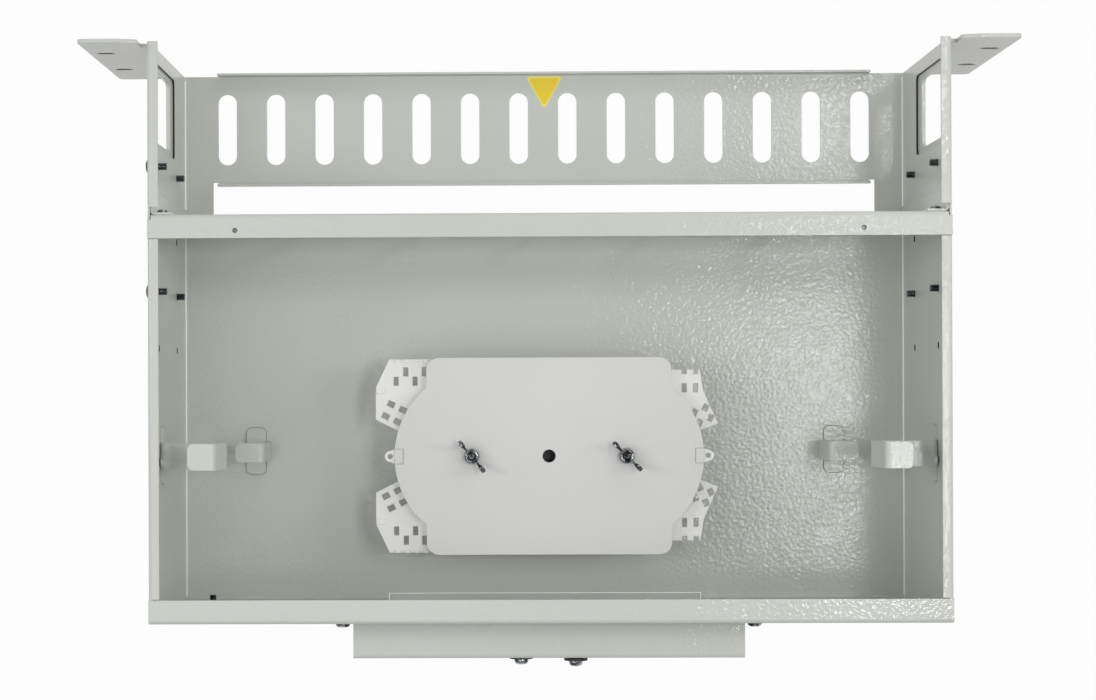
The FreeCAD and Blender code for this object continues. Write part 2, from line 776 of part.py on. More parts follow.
def wing_nut(side, turn):
    """Tapered hub with two thin wings that sweep up to thicker ears, turned on its stud."""
    hub = Part.makeCone(nut_hub_bottom / 2, nut_hub_top / 2, nut_hub_height)
    reach = nut_span / 2
    root_x, root_z = nut_wing_root
    flare_in, flare_z = nut_wing_flare
    nose_in, nose_drop = nut_wing_nose
    back_in, back_drop = nut_wing_back
    ear = [
        (reach - flare_in, flare_z),
        (reach, nut_wing_top - nose_drop),
        (reach - nose_in, nut_wing_top),
        (reach - back_in, nut_wing_top - back_drop),
    ]
    root = [(root_x, nut_hub_height - root_z / 2), (root_x, root_z), (nut_hub_bottom / 2, nut_wing_heel)]
    parts = [hub]
    for sign in (-1, 1):
        for outline, thick in ((root + ear, nut_wing_thick), (ear, nut_ear_thick)):
            parts.append(prism([(sign * x, -thick / 2, z) for x, z in outline], (0, thick, 0)))
    nut = fused(parts)
    bore = stud_diameter / 2 + nut_play
    nut = nut.cut(Part.makeCylinder(bore, 2 * nut_wing_top, Vector(0, 0, -1)))
    nut.rotate(Vector(0, 0, 0), Vector(0, 0, 1), turn)
    nut.translate(Vector(tray_x + side * stud_span / 2, tray_y, nut_seat))
    return nut


def cable_hood():
    """Hood over the rear cable entry: eared flange, top, back, and a floor that meets the chassis floor."""
    half = sheet / 2
    flange_y = rear_y + half
    back_y = rear_y + hood_depth - half
    top_z = hood_height - half
    section = [(flange_y, hood_height - hood_flange), (flange_y, top_z), (back_y, top_z)]
    section += [(back_y, half), (rear_y - entry_notch + fit_gap, half)]
    half_hood = hood_width / 2
    hood = fold_along_x(section, -half_hood, half_hood, sheet, bend)
    tongue_half = entry_width / 2 - fit_gap
    cuts = []
    for side in sides.values():
        edge = side * tongue_half
        cuts.append(box(edge, side * (half_hood + 1), 0, rear_y + fit_gap, -1, sheet + 1))
        hole = clamp_thread + 2 * screw_play
        x = side * hood_screw_span / 2
        cuts.append(rod(hole, (x, rear_y - 1, hood_screw_height), (x, rear_y + 4, hood_screw_height)))
        x = side * clamp_span / 2
        cuts.append(rod(hole, (x, back_y - 3, clamp_height), (x, back_y + 3, clamp_height)))
    ears = []
    for side in sides.values():
        inner = side * (half_hood - 2)
        outer = side * (half_hood + hood_ear)
        low = hood_height - hood_flange
        high = hood_height - sheet - bend
        tab = box(inner, outer, rear_y, rear_y + sheet, low, high)
        ears.append(tab)
    return fused([hood] + ears).cut(Part.makeCompound(cuts))


def hood_screws():
    seat = rear_y + sheet + spring_washer
    tip = rear_inside - hex_height - 1
    screws = []
    for side in sides.values():
        x = side * hood_screw_span / 2
        ends = [(x, y, hood_screw_height) for y in (seat, tip)]
        screws.append(pan_screw(ear_thread, ear_head, *ends))
    return Part.makeCompound(screws)


def hood_washers():
    rings = []
    for side in sides.values():
        x = side * hood_screw_span / 2
        rings.append(washer(x, rear_y + sheet, hood_screw_height, hex_across_flats, spring_washer))
    return Part.makeCompound(rings)


def washer(x, y, z, diameter, thickness):
    ring = rod(diameter, (x, y, z), (x, y + thickness, z))
    bore = clamp_thread + 2 * stud_play
    return ring.cut(rod(bore, (x, y - 1, z), (x, y + thickness + 1, z)))


def rear_nut(x, z, seat_y):
    """Hexagon nut that stands forward from its seat."""
    nut = hexagon(hex_across_flats, (x, seat_y, z), (x, seat_y - hex_height, z))
    bore = clamp_thread + 2 * screw_play
    return nut.cut(rod(bore, (x, seat_y + 1, z), (x, seat_y - hex_height - 1, z)))


def hood_nuts():
    spots = [side * hood_screw_span / 2 for side in sides.values()]
    return Part.makeCompound([rear_nut(x, hood_screw_height, rear_inside) for x in spots])


def clamp_screw(side):
    x = side * clamp_span / 2
    extra = spring_washer if side < 0 else 0
    seat = rear_y + hood_depth + clamp_washer[1] + extra
    tip = rear_y + hood_depth - clamp_tail
    return pan_screw(clamp_thread, clamp_head, (x, seat, clamp_height), (x, tip, clamp_height))


def clamp_washers():
    """One wide washer on each clamp screw, and a lock washer behind the left one."""
    rings = []
    for side in sides.values():
        x = side * clamp_span / 2
        start = rear_y + hood_depth
        if side < 0:
            rings.append(washer(x, start, clamp_height, hex_across_flats, spring_washer))
            start += spring_washer
        rings.append(washer(x, start, clamp_height, *clamp_washer))
    return Part.makeCompound(rings)


def clamp_nuts():
    inner_face = rear_y + hood_depth - sheet
    spots = [side * clamp_span / 2 for side in sides.values()]
    return Part.makeCompound([rear_nut(x, clamp_height, inner_face) for x in spots])


def earth_screw():
    seat = (earth_x, rear_y, earth_height)
    tip = (earth_x, rear_inside - earth_tail, earth_height)
    return pan_screw(clamp_thread, ear_head, seat, tip)


def all_nodes():
    nodes = {
        "chassis": chassis(),
        "front_panel": front_panel(),
        "cover_nuts": cover_nuts(),
        "panel_screws": panel_screws(),
        "splice_tray": splice_tray(),
        "splice_comb": splice_comb(),
        "tray_lid": tray_lid(),
        "cable_hood": cable_hood(),
        "hood_screws": hood_screws(),
        "hood_washers": hood_washers(),
        "hood_nuts": hood_nuts(),
        "clamp_washers": clamp_washers(),
        "clamp_nuts": clamp_nuts(),
        "earth_screw": earth_screw(),
    }
    for (name, side), turn in zip(sides.items(), nut_turns):
        nodes["panel_angle_" + name] = panel_angle(side)
        nodes["rack_ear_" + name] = rack_ear(side)
        nodes["ear_screws_" + name] = ear_screws(side)
        nodes["wall_hook_" + name] = wall_hook(side)
        nodes["floor_hook_" + name] = floor_hook(side)
        nodes["tray_stud_" + name] = tray_stud(side, stud_recess[name])
        nodes["tray_spacer_" + name] = tray_spacer(side)
        nodes["wing_nut_" + name] = wing_nut(side, turn)
        nodes["clamp_screw_" + name] = clamp_screw(side)
    return nodes


os.makedirs("parts", exist_ok=True)
for node, shape in all_nodes().items():
    shape.exportStep("parts/" + node + ".step")
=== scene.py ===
import json
import math

import bmesh
import bpy
from mathutils import Matrix, Vector


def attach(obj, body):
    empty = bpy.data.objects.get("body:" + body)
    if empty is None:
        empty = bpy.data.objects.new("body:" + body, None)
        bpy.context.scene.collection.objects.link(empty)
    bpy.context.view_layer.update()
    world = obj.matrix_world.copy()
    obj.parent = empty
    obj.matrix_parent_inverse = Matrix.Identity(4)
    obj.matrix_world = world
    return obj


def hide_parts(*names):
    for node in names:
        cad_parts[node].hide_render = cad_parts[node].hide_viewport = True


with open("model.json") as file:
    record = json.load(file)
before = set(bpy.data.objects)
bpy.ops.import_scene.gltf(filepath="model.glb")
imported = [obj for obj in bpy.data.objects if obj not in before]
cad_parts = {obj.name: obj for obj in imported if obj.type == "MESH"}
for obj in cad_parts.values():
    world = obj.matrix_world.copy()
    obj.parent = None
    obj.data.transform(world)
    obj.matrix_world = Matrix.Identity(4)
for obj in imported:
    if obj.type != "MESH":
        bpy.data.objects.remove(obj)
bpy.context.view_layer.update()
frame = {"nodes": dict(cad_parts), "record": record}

nodes = frame["nodes"]
scene = bpy.context.scene
MM = 0.001

# Sizes of the part that the pieces below repeat, in millimetres
SHEET = 1.2
BEND = 1.0
FRONT_Y = -150.0
REAR_Y = 150.0
HALF_WIDTH = 205.5
BODY_HEIGHT = 132.0
WALL_INSIDE = HALF_WIDTH - SHEET
WALL_WINDOW = (-141.3, -97.6, 40.0, 110.0)  # y from and to, z from and to
WINDOW_CORNER = 4.0
FIXING_ROWS = (34.0, 100.0)
FIXING_HOLE = 4.1
EAR_SCREW_COLUMNS = (-87.8, -22.0)
SPARE_COLUMNS = (-52.4, 7.9, 67.7)
EAR_SHEET = 2.0
EAR_MIDDLE = 66.25
RACK_SLOT_X = 232.55
RACK_SLOT_SPACING = 57.15
RACK_SLOT = (10.0, 6.8)
HOOK_FOOT = (158.4, 169.4, 51.3, 77.7)  # x from and to, y from and to
HOOK_CORNER = 3.0
COVER_HOLE = (160.5, -51.6)
PANEL_SCREW_X = 199.3
PANEL_SCREW_ROWS = (14.0, 120.0)
PANEL_FACE_Y = -61.3
HOOD_DEPTH = 21.2
HOOD_SCREW = (108.7, 92.0)  # x, z
CLAMP_SCREW = (14.4, 90.0)
EARTH_SCREW = (186.5, 21.0)
WASHER = 1.0
CLAMP_WASHER = 1.2
TRAY_X = -1.7
TRAY_Y = 66.7
TRAY_BOTTOM = 35.0
LID_TOP = 46.5
LID_SHEET = 1.5
STUD_SPAN = 84.8
STUD_TOPS = {"left": 52.5, "right": 49.1}
NUT_TURNS = {"left": 135.0, "right": 130.0}
PAN_HEAD = (8.0, 3.4)  # diameter, height
CLAMP_HEAD = (7.4, 3.1)
PANEL_HEAD = (5.6, 2.1)
M4 = (4.0, 0.7)  # diameter, pitch
M3 = (3.0, 0.5)
SIDES = {"left": -1, "right": 1}

# Camera fitted to the photo
PHOTO_WIDTH = 1096
FOCAL_PIXELS = 2229.02
SENSOR_WIDTH = 36.0
CAMERA_PLACE = (26.40, 32.47, 1269.89)
CAMERA_SHIFT = (0.0766, 0.0356)
CAMERA_TILT = {"X": -0.00216, "Y": -0.01508, "Z": 0.00381}


def new_material(name):
    """Empty node material with a Principled shader wired to its output."""
    material = bpy.data.materials.new(name)
    material.use_nodes = True
    tree = material.node_tree
    tree.nodes.clear()
    output = tree.nodes.new("ShaderNodeOutputMaterial")
    shader = tree.nodes.new("ShaderNodeBsdfPrincipled")
    tree.links.new(shader.outputs["BSDF"], output.inputs["Surface"])
    return material, tree, shader


def coordinates(tree):
    return tree.nodes.new("ShaderNodeTexCoord").outputs["Object"]


def noise(tree, scale, detail=2.0, roughness=0.5, distortion=0.0):
    node = tree.nodes.new("ShaderNodeTexNoise")
    node.inputs["Scale"].default_value = scale
    node.inputs["Detail"].default_value = detail
    node.inputs["Roughness"].default_value = roughness
    node.inputs["Distortion"].default_value = distortion
    tree.links.new(coordinates(tree), node.inputs["Vector"])
    return node.outputs["Fac"]


def cells(tree, scale, smoothness=0.8):
    node = tree.nodes.new("ShaderNodeTexVoronoi")
    node.feature = "SMOOTH_F1"
    node.inputs["Scale"].default_value = scale
    node.inputs["Smoothness"].default_value = smoothness
    tree.links.new(coordinates(tree), node.inputs["Vector"])
    return node.outputs["Distance"]


def spread(tree, value, low, high, start=0.0, end=1.0):
    """Map a value between start and end to a range."""
    node = tree.nodes.new("ShaderNodeMapRange")
    node.inputs["From Min"].default_value = start
    node.inputs["From Max"].default_value = end
    node.inputs["To Min"].default_value = low
    node.inputs["To Max"].default_value = high
    tree.links.new(value, node.inputs["Value"])
    return node.outputs["Result"]


def colours(tree, value, first, second):
    node = tree.nodes.new("ShaderNodeMix")
    node.data_type = "RGBA"
    node.inputs["A"].default_value = (*first, 1.0)
    node.inputs["B"].default_value = (*second, 1.0)
    tree.links.new(value, node.inputs["Factor"])
    return node.outputs["Result"]


def bump(tree, height, strength, distance, under=None):
    node = tree.nodes.new("ShaderNodeBump")
    node.inputs["Strength"].default_value = strength
    node.inputs["Distance"].default_value = distance
    tree.links.new(height, node.inputs["Height"])
    if under:
        tree.links.new(under, node.inputs["Normal"])
    return node.outputs["Normal"]


def soft_edges(tree, radius):
    node = tree.nodes.new("ShaderNodeBevel")
    node.samples = 4
    node.inputs["Radius"].default_value = radius
    return node.outputs["Normal"]


def powder_coat():
    """Light grey powder coat: a pebbled surface under a thin, smooth gloss."""
    material, tree, shader = new_material("powder_coat")
    drift = noise(tree, 22.0, 3.0)
    base = colours(tree, drift, (0.560, 0.574, 0.540), (0.585, 0.599, 0.565))
    tree.links.new(base, shader.inputs["Base Color"])
    tree.links.new(spread(tree, noise(tree, 160.0, 2.0), 0.42, 0.52), shader.inputs["Roughness"])
    shader.inputs["Specular IOR Level"].default_value = 0.1
    shader.inputs["Coat Weight"].default_value = 0.45
    shader.inputs["Coat Roughness"].default_value = 0.1
    edges = soft_edges(tree, 0.0005)
    pebbles = bump(tree, cells(tree, 470.0, 0.8), 0.5, 0.00021, edges)
    swells = bump(tree, noise(tree, 510.0, 1.0, 0.4, 0.8), 0.4, 0.00026, pebbles)
    tree.links.new(swells, shader.inputs["Normal"])
    tree.links.new(swells, shader.inputs["Coat Normal"])
    return material


def zinc(name, darker, paler, smooth, rough):
    """Zinc plate, slightly blue, with fine streaks."""
    material, tree, shader = new_material(name)
    patches = spread(tree, noise(tree, 380.0, 3.0), 0.0, 1.0, 0.4, 0.6)
    tree.links.new(colours(tree, patches, darker, paler), shader.inputs["Base Color"])
    shader.inputs["Metallic"].default_value = 1.0
    tree.links.new(spread(tree, noise(tree, 700.0, 3.0), smooth, rough), shader.inputs["Roughness"])
    edges = soft_edges(tree, 0.0002)
    tree.links.new(bump(tree, noise(tree, 1500.0, 2.0), 0.2, 0.00005, edges), shader.inputs["Normal"])
    return material


def tray_plastic(name, level):
    """Matt white moulding with a fine spark-eroded grain."""
    material, tree, shader = new_material(name)
    low, high = ((share, share, share - 0.01) for share in (level - 0.012, level + 0.012))
    base = colours(tree, noise(tree, 40.0, 3.0), low, high)
    tree.links.new(base, shader.inputs["Base Color"])
    tree.links.new(spread(tree, noise(tree, 500.0, 2.0), 0.48, 0.6), shader.inputs["Roughness"])
    shader.inputs["Specular IOR Level"].default_value = 0.4
    edges = soft_edges(tree, 0.0004)
    tree.links.new(bump(tree, noise(tree, 2200.0, 2.0), 0.25, 0.00004, edges), shader.inputs["Normal"])
    return material


def dark_steel():
    """Blackened washers with a little bare metal showing; the same material paints shade in the dark edge
    bands and the middle bore.
    """
    material, tree, shader = new_material("dark_steel")
    base = colours(tree, noise(tree, 400.0, 4.0), (0.012, 0.012, 0.013), (0.05, 0.05, 0.052))
    tree.links.new(base, shader.inputs["Base Color"])
    shader.inputs["Metallic"].default_value = 0.4
    tree.links.new(spread(tree, noise(tree, 900.0, 2.0), 0.35, 0.55), shader.inputs["Roughness"])
    tree.links.new(soft_edges(tree, 0.0002), shader.inputs["Normal"])
    return material


def painted_highlight_bead():
    """Thick, glossy bead of paint in the inside bends, paler than the coat: its paler colour is a painted
    highlight.
    """
    material, tree, shader = new_material("painted_highlight_bead")
    # Pale colour: a painted highlight along the bends
    base = colours(tree, noise(tree, 60.0, 3.0), (0.80, 0.815, 0.79), (0.90, 0.91, 0.89))
    tree.links.new(base, shader.inputs["Base Color"])
    tree.links.new(spread(tree, noise(tree, 200.0, 2.0), 0.2, 0.3), shader.inputs["Roughness"])
    return material


materials = {
    "powder_coat": powder_coat(),
    "zinc_plate": zinc("zinc_plate", (0.07, 0.075, 0.085), (0.42, 0.435, 0.45), 0.08, 0.16),
    "tray_plastic": tray_plastic("tray_plastic", 0.675),
    "dark_steel": dark_steel(),
    "dark_zinc": zinc("dark_zinc", (0.05, 0.055, 0.065), (0.15, 0.16, 0.17), 0.06, 0.14),
    "painted_highlight_bead": painted_highlight_bead(),
}
for subpart in frame["record"]["subparts"]:
    mesh = nodes[subpart["node"]].data
    mesh.materials.clear()
    mesh.materials.append(materials[subpart["material_slot"]])
nodes["splice_tray"].data.materials[0] = tray_plastic("tray_plastic_base", 0.84)


def camera():
    """Nearly straight down from above, as the photo was taken."""
    data = bpy.data.cameras.new("camera")
    data.sensor_fit = "HORIZONTAL"
    data.sensor_width = SENSOR_WIDTH
    data.lens = FOCAL_PIXELS / PHOTO_WIDTH * SENSOR_WIDTH
    data.shift_x, data.shift_y = CAMERA_SHIFT
    tilt = Matrix.Identity(3)
    for axis, angle in CAMERA_TILT.items():
        tilt = tilt @ Matrix.Rotation(angle, 3, axis)
    turn = Matrix(((-1, 0, 0), (0, -1, 0), (0, 0, 1)))
    holder = bpy.data.objects.new("camera", data)
    place = (tilt @ turn).transposed().to_4x4()
    place.translation = Vector(CAMERA_PLACE) * MM
    holder.matrix_world = place
    scene.collection.objects.link(holder)
    scene.camera = holder


def area_light(name, place, target, size, power):
    data = bpy.data.lights.new(name, "AREA")
    data.shape = "RECTANGLE"
    data.size, data.size_y = size
    data.energy = power
    lamp = bpy.data.objects.new(name, data)
    lamp.location = place
    lamp.rotation_euler = (Vector(target) - Vector(place)).to_track_quat("-Z", "Y").to_euler()
    scene.collection.objects.link(lamp)


def seen_directly(tree):
    """1 for camera, glossy and transmission rays, which meet the plain background."""
    path = tree.nodes.new("ShaderNodeLightPath")
    total = path.outputs["Is Camera Ray"]
    for name in ("Is Glossy Ray", "Is Transmission Ray"):
        node = tree.nodes.new("ShaderNodeMath")
        node.operation = "MAXIMUM"
        tree.links.new(total, node.inputs[0])
        tree.links.new(path.outputs[name], node.inputs[1])
        total = node.outputs["Value"]
    return total


def dim_zenith(tree, level, darkest):
    """World strength: even all round, dim straight above like a dark ceiling between soft boxes."""
    place = tree.nodes.new("ShaderNodeTexCoord")
    split = tree.nodes.new("ShaderNodeSeparateXYZ")
    tree.links.new(place.outputs["Generated"], split.inputs["Vector"])
    fade = tree.nodes.new("ShaderNodeMapRange")
    fade.interpolation_type = "SMOOTHSTEP"
    for name, value in (("From Min", 0.90), ("From Max", 0.985), ("To Min", level), ("To Max", darkest)):
        fade.inputs[name].default_value = value
    tree.links.new(split.outputs["Z"], fade.inputs["Value"])
    return fade.outputs["Result"]


def world_light():
    """Even, slightly green light from all round."""
    world = bpy.data.worlds.new("studio")
    scene.world = world
    world.use_nodes = True
    tree = world.node_tree
    tree.nodes.clear()
    output = tree.nodes.new("ShaderNodeOutputWorld")
    background = tree.nodes.new("ShaderNodeBackground")
    background.inputs["Color"].default_value = (0.99, 1.0, 0.99, 1.0)
    tree.links.new(dim_zenith(tree, 0.41, 0.07), background.inputs["Strength"])
    tree.links.new(background.outputs["Background"], output.inputs["Surface"])


def studio_floor():
    """Matt floor that keeps a faint shadow and is plain white to the camera and in reflections."""
    ground = bpy.data.meshes.new("studio_floor")
    reach = 20.0
    corners = [(-reach, -reach, 0), (reach, -reach, 0), (reach, reach, 0), (-reach, reach, 0)]
    ground.from_pydata(corners, [], [(0, 1, 2, 3)])
    floor = bpy.data.objects.new("studio_floor", ground)
    floor.location.z = -0.0004
    scene.collection.objects.link(floor)
    material = bpy.data.materials.new("studio_floor")
    material.use_nodes = True
    tree = material.node_tree
    tree.nodes.clear()
    output = tree.nodes.new("ShaderNodeOutputMaterial")
    matt = tree.nodes.new("ShaderNodeBsdfDiffuse")
    matt.inputs["Color"].default_value = (0.55, 0.55, 0.55, 1)
    plain = tree.nodes.new("ShaderNodeEmission")
    plain.inputs["Strength"].default_value = 1.0
    mix = tree.nodes.new("ShaderNodeMixShader")
    share = tree.nodes.new("ShaderNodeMath")
    share.operation = "MULTIPLY"
    share.inputs[1].default_value = 0.97
    tree.links.new(seen_directly(tree), share.inputs[0])
    tree.links.new(share.outputs["Value"], mix.inputs["Fac"])
    tree.links.new(matt.outputs["BSDF"], mix.inputs[1])
    tree.links.new(plain.outputs["Emission"], mix.inputs[2])
    tree.links.new(mix.outputs["Shader"], output.inputs["Surface"])
    ground.materials.append(material)


def lamps():
    """Narrow keys that sparkle on the floor, a soft fill, and lights at the front and at each side."""
    area_light("key", (-0.395, 0.0, 1.4), (-0.08, 0.0, 0.0), (0.1, 0.3), 2.0)
    area_light("key_rear", (-0.38, 0.175, 1.4), (-0.08, 0.0, 0.0), (0.1, 0.12), 1.1)
    area_light("key_front", (-0.41, -0.28, 1.4), (-0.08, 0.0, 0.0), (0.1, 0.12), 1.0)
    area_light("front", (-0.7, -1.4, 0.7), (0.0, 0.0, 0.05), (1.4, 0.5), 5.0)
    area_light("fill", (0.45, 0.25, 1.35), (0.0, 0.0, 0.05), (0.8, 0.8), 3.2)
    area_light("side_right", (-1.2, -0.1, 1.0), (0.0, 0.0, 0.05), (0.3, 0.9), 4.2)
    area_light("side_left", (1.2, -0.1, 1.0), (0.0, 0.0, 0.05), (0.3, 0.9), 4.8)


def add_piece(name, bm, material, body, replaced=()):
    """Turn a bmesh in millimetres into a smooth-shaded piece that rides on a body."""
    bmesh.ops.scale(bm, vec=(MM, MM, MM), verts=bm.verts)
    bmesh.ops.recalc_face_normals(bm, faces=bm.faces)
    mesh = bpy.data.meshes.new(name)
    bm.to_mesh(mesh)
    bm.free()
    mesh.materials.append(material)
    mesh.set_sharp_from_angle(angle=math.radians(35))
    piece = bpy.data.objects.new(name, mesh)
    scene.collection.objects.link(piece)
    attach(piece, body)
    if replaced:
        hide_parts(*replaced)
    return piece


def rings_to_faces(bm, rings, cap_start=True, cap_end=True):
    """Skin between rings of vertices, each ring a closed loop."""
    for first, second in zip(rings[:-1], rings[1:]):
        count = len(first)
        for k in range(count):
            after = (k + 1) % count
            bm.faces.new((first[k], first[after], second[after], second[k]))
    if cap_start:
        bm.faces.new(list(reversed(rings[0])))
    if cap_end:
        bm.faces.new(rings[-1])


def revolve(bm, profile, segments=32, loop=False):
    """Turn a profile of (radius, z) about Z; a loop closes on itself."""
    rings = []
    for radius, z in profile:
        angles = [2 * math.pi * k / segments for k in range(segments)]
        rings.append([bm.verts.new((radius * math.cos(a), radius * math.sin(a), z)) for a in angles])
    if loop:
        rings_to_faces(bm, rings + rings[:1], False, False)
    else:
        rings_to_faces(bm, rings)


def thread(bm, diameter, pitch, bottom, top, segments=20, rows_per_turn=6):
    """Rod with a helical thread, chamfered at both ends."""
    depth = 0.54 * pitch
    rows = max(2, round((top - bottom) / pitch * rows_per_turn))
    rings = []
    for row in range(rows + 1):
        z = bottom + (top - bottom) * row / rows
        ring = []
        for k in range(segments):
            share = k / segments
            wave = 0.5 + 0.5 * math.cos(2 * math.pi * (z / pitch - share))
            radius = diameter / 2 - depth * wave
            radius = min(radius, diameter / 2 - depth + (top - z), diameter / 2 - depth + (z - bottom))
            angle = 2 * math.pi * share
            ring.append(bm.verts.new((radius * math.cos(angle), radius * math.sin(angle), z)))
        rings.append(ring)
    rings_to_faces(bm, rings)


def mesh_of(bm):
    mesh = bpy.data.meshes.new("part")
    bm.to_mesh(mesh)
    bm.free()
    return mesh


def cut(mesh, cutter):
    """Mesh less cutter, by a boolean that is applied at once."""
    body = bpy.data.objects.new("body", mesh)
    tool = bpy.data.objects.new("tool", cutter)
    for thing in (body, tool):
        scene.collection.objects.link(thing)
    step = body.modifiers.new("cut", "BOOLEAN")
    step.operation = "DIFFERENCE"
    step.solver = "EXACT"
    step.object = tool
    view = bpy.context.evaluated_depsgraph_get()
    result = bpy.data.meshes.new_from_object(body.evaluated_get(view))
    for thing in (body, tool):
        bpy.data.objects.remove(thing)
    return result


def recess_arm(width, depth, top, turn):
    """One tapered arm of the cross that the driver fits."""
    bm = bmesh.new()
    spin = Matrix.Rotation(math.radians(turn), 3, "Z")
    rings = []
    for z, share in ((top - depth, 0.45), (top - depth * 0.3, 0.95), (top + 0.5, 1.1)):
        long_half, short_half = width / 2 * share, width / 7
        corners = [(long_half, -short_half), (long_half, short_half)]
        corners += [(-x, -y) for x, y in corners]
        rings.append([bm.verts.new(spin @ Vector((x, y, z))) for x, y in corners])
    rings_to_faces(bm, rings)
    bmesh.ops.recalc_face_normals(bm, faces=bm.faces)
    return mesh_of(bm)


def screw_mesh(thread_size, head, length):
    """Pan-head screw along +Z: the head's seat is at z = 0, the thread runs down from it."""
    diameter, pitch = thread_size
    radius, height = head[0] / 2, head[1]
    bm = bmesh.new()
    profile = [(0.35, height), (0.6, 0.97), (0.82, 0.84), (0.95, 0.6), (1.0, 0.34), (1.0, 0.08), (0.96, 0.0)]
    points = [(radius * 0.35, height)] + [(radius * r, height * z) for r, z in profile[1:]]
    revolve(bm, list(reversed(points)), 36)
    bmesh.ops.recalc_face_normals(bm, faces=bm.faces)
    mesh = mesh_of(bm)
    for turn in (0, 90):
        mesh = cut(mesh, recess_arm(head[0] * 0.56, height * 0.62, height, turn))
    bm = bmesh.new()
    bm.from_mesh(mesh)
    bpy.data.meshes.remove(mesh)
    thread(bm, diameter, pitch, -length, 0.4)
    return mesh_of(bm)


def screws(name, mesh, places, material, body):
    """One piece of several screws; each place is (seat point, way that the head faces, turn)."""
    bm = bmesh.new()
    for seat, way, turn in places:
        aim = Vector(way).to_track_quat("Z", "Y").to_matrix().to_4x4()
        spin = Matrix.Rotation(math.radians(turn), 4, "Z")
        copy = bmesh.new()
        copy.from_mesh(mesh)
        bmesh.ops.transform(copy, matrix=Matrix.Translation(seat) @ aim @ spin, verts=copy.verts)
        joined = mesh_of(copy)
        bm.from_mesh(joined)
        bpy.data.meshes.remove(joined)
    return add_piece(name, bm, material, body, [name.replace("_detail", "")])


def ear_screw_pieces():
    mesh = screw_mesh(M4, PAN_HEAD, EAR_SHEET + SHEET + 4.3)
    for side, sign in SIDES.items():
        places = []
        for y in EAR_SCREW_COLUMNS:
            for z in FIXING_ROWS:
                turn = (y * 7 + z * 3 + sign * 20) % 90
                places.append(((sign * (HALF_WIDTH + EAR_SHEET), y, z), (sign, 0, 0), turn))
        screws("ear_screws_" + side + "_detail", mesh, places, materials["dark_zinc"], "shelf")


def rear_screw_pieces():
    zinc_plate = materials["zinc_plate"]
    backwards = (0, 1, 0)
    hood = screw_mesh(M4, PAN_HEAD, 7.6)
    x, z = HOOD_SCREW
    seat = REAR_Y + SHEET + WASHER
    places = [((sign * x, seat, z), backwards, 20 + 25 * sign) for sign in SIDES.values()]
    screws("hood_screws_detail", hood, places, zinc_plate, "shelf")
    x, z = CLAMP_SCREW
    for side, sign in SIDES.items():
        stack = CLAMP_WASHER + (WASHER if sign < 0 else 0.0)
        clamp = screw_mesh(M4, CLAMP_HEAD, stack + 9.0)
        places = [((sign * x, REAR_Y + HOOD_DEPTH + stack, z), backwards, 35 * sign)]
        screws("clamp_screw_" + side + "_detail", clamp, places, zinc_plate, "shelf")
    earth = screw_mesh(M4, PAN_HEAD, SHEET + 4.2)
    x, z = EARTH_SCREW
    places = [((x, REAR_Y, z), backwards, 12)]
    screws("earth_screw_detail", earth, places, materials["dark_zinc"], "shelf")


def panel_screw_pieces():
    mesh = screw_mesh(M3, PANEL_HEAD, 2 * SHEET + 1.3)
    places = []
    for sign in SIDES.values():
        for z in PANEL_SCREW_ROWS:
            places.append(((sign * PANEL_SCREW_X, PANEL_FACE_Y, z), (0, -1, 0), z + 31 * sign))
    screws("panel_screws_detail", mesh, places, materials["zinc_plate"], "shelf")


def stud_pieces():
    for side, sign in SIDES.items():
        bm = bmesh.new()
        thread(bm, *M4, 0.0, STUD_TOPS[side], 24, 6)
        bmesh.ops.translate(bm, vec=(TRAY_X + sign * STUD_SPAN / 2, TRAY_Y, 0), verts=bm.verts)
        name = "tray_stud_" + side
        add_piece(name + "_detail", bm, materials["zinc_plate"], "shelf", [name])


def wing(bm, sign):
    """One wing: rounded bars along a line that sweeps out and up from a thin web to a thick ear."""
    spine = [(2.4, 3.0), (4.4, 3.7), (6.2, 5.0), (7.6, 6.6)]
    spine += [(8.3, 7.6), (8.8, 8.8), (9.2, 10.3), (9.25, 10.6)]
    heights = [2.6, 2.3, 2.0, 1.9, 2.1, 2.2, 1.95, 1.3]
    thicknesses = [0.8, 0.75, 0.75, 0.8, 1.3, 1.4, 1.38, 1.0]
    rings = []
    for k, (x, z) in enumerate(spine):
        before = spine[max(0, k - 1)]
        after = spine[min(len(spine) - 1, k + 1)]
        along = Vector((after[0] - before[0], 0, after[1] - before[1])).normalized()
        up = Vector((-along.z, 0, along.x))
        ring = []
        for step in range(16):
            angle = 2 * math.pi * step / 16
            wide, tall = (math.copysign(abs(f) ** 0.5, f) for f in (math.cos(angle), math.sin(angle)))
            point = Vector((x, 0, z)) + up * (heights[k] * tall)
            point.y += thicknesses[k] * wide
            ring.append(bm.verts.new((sign * point.x, sign * point.y, point.z)))
        rings.append(ring)
    rings_to_faces(bm, rings)


def wing_nut_pieces():
    bore = M4[0] / 2 + 0.05
    hub = [(bore, 0.3), (bore + 0.35, 0.0), (4.2, 0.0), (4.5, 0.3), (4.45, 1.2)]
    hub += [(4.1, 4.4), (3.85, 5.9), (3.4, 6.5), (bore + 0.6, 6.5), (bore, 5.9)]
    for side, sign in SIDES.items():
        bm = bmesh.new()
        revolve(bm, hub, 40, loop=True)
        for way in (-1, 1):
            wing(bm, way)
        spin = Matrix.Rotation(math.radians(NUT_TURNS[side]), 4, "Z")
        place = Matrix.Translation((TRAY_X + sign * STUD_SPAN / 2, TRAY_Y, LID_TOP + 0.1))
        bmesh.ops.transform(bm, matrix=place @ spin, verts=bm.verts)
        name = "wing_nut_" + side
        piece = add_piece(name + "_cast", bm, materials["zinc_plate"], "nut_" + side, [name])
        smooth = piece.modifiers.new("smooth", "SUBSURF")
        smooth.levels = 2
        smooth.render_levels = 2


